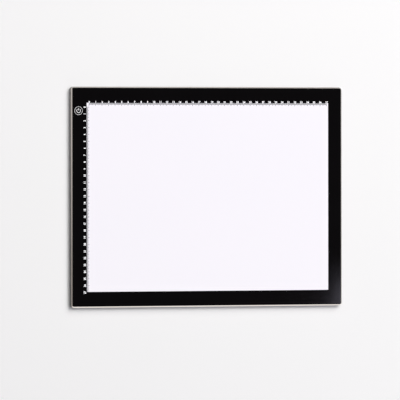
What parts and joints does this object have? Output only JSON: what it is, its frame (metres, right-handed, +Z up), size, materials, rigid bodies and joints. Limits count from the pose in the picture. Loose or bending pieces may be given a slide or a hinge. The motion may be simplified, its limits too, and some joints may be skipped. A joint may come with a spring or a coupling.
{
  "type": "tracing light pad",
  "caption": "Thin edge-lit tracing pad: opal face in a black border, ruler edges, press key for power, moulded rim, back plate on rubber feet, USB inlet at the rear.",
  "frame": {"origin": "middle of the pad's outline, on the surface that the feet stand on", "axes": "+X along the long side to the right, +Y towards the rear edge with the inlet, +Z up out of the lit face"},
  "size_m": [0.422, 0.322, 0.0091],
  "materials": {
    "opal_panel": "satin opal acrylic, lit from behind",
    "black_film": "smooth printed film",
    "adhesive": "double-sided tape",
    "diffuser": "frosted sheet",
    "clear_acrylic": "clear cast sheet with printed dots",
    "reflector": "white foil",
    "white_board": "white solder mask",
    "phosphor": "moulded",
    "lead_jacket": "smooth jacket",
    "socket_plastic": "moulded",
    "frame_plastic": "fine moulded grain",
    "plate_plastic": "fine moulded grain",
    "screw_steel": "zinc plated",
    "foot_rubber": "matt",
    "green_board": "solder mask",
    "chip_resin": "moulded resin",
    "part_ceramic": "moulded",
    "plated_steel": "nickel plated",
    "tongue_plastic": "moulded",
    "contact_brass": "gold plated",
    "white_ink": "screen print",
    "pale_ink": "screen print",
    "key_plastic": "satin moulded"
  },
  "bodies": {
    "pad": {"face_panel": "opal_panel", "border_film": "black_film", "panel_tape": "adhesive", "diffuser_sheet": "diffuser", "light_guide": "clear_acrylic", "reflector_sheet": "reflector", "led_board_rear": "white_board", "led_board_front": "white_board", "leds_rear": "phosphor", "leds_front": "phosphor", "led_tape_rear": "adhesive", "led_tape_front": "adhesive", "led_leads": "lead_jacket", "lead_sockets": "socket_plastic", "side_frame": "frame_plastic", "back_plate": "plate_plastic", "plate_screws": "screw_steel", "rubber_feet": "foot_rubber", "control_board": "green_board", "board_pad": "adhesive", "dimmer_chip": "chip_resin", "power_parts": "part_ceramic", "usb_shell": "plated_steel", "usb_tongue": "tongue_plastic", "usb_contacts": "contact_brass", "switch_base": "tongue_plastic", "switch_cover": "plated_steel", "switch_dome": "plated_steel"},
    "key": {"power_key": "key_plastic", "switch_plunger": "tongue_plastic"}
  },
  "joints": [
    {"name": "key_press", "type": "slide", "parent": "pad", "child": "key", "axis": [0, 0, -1], "range_m": [0, 0.0003], "stiffness_N_per_m": 1500, "springref_m": -0.0003, "deforming": ["switch_dome"]}
  ]
}
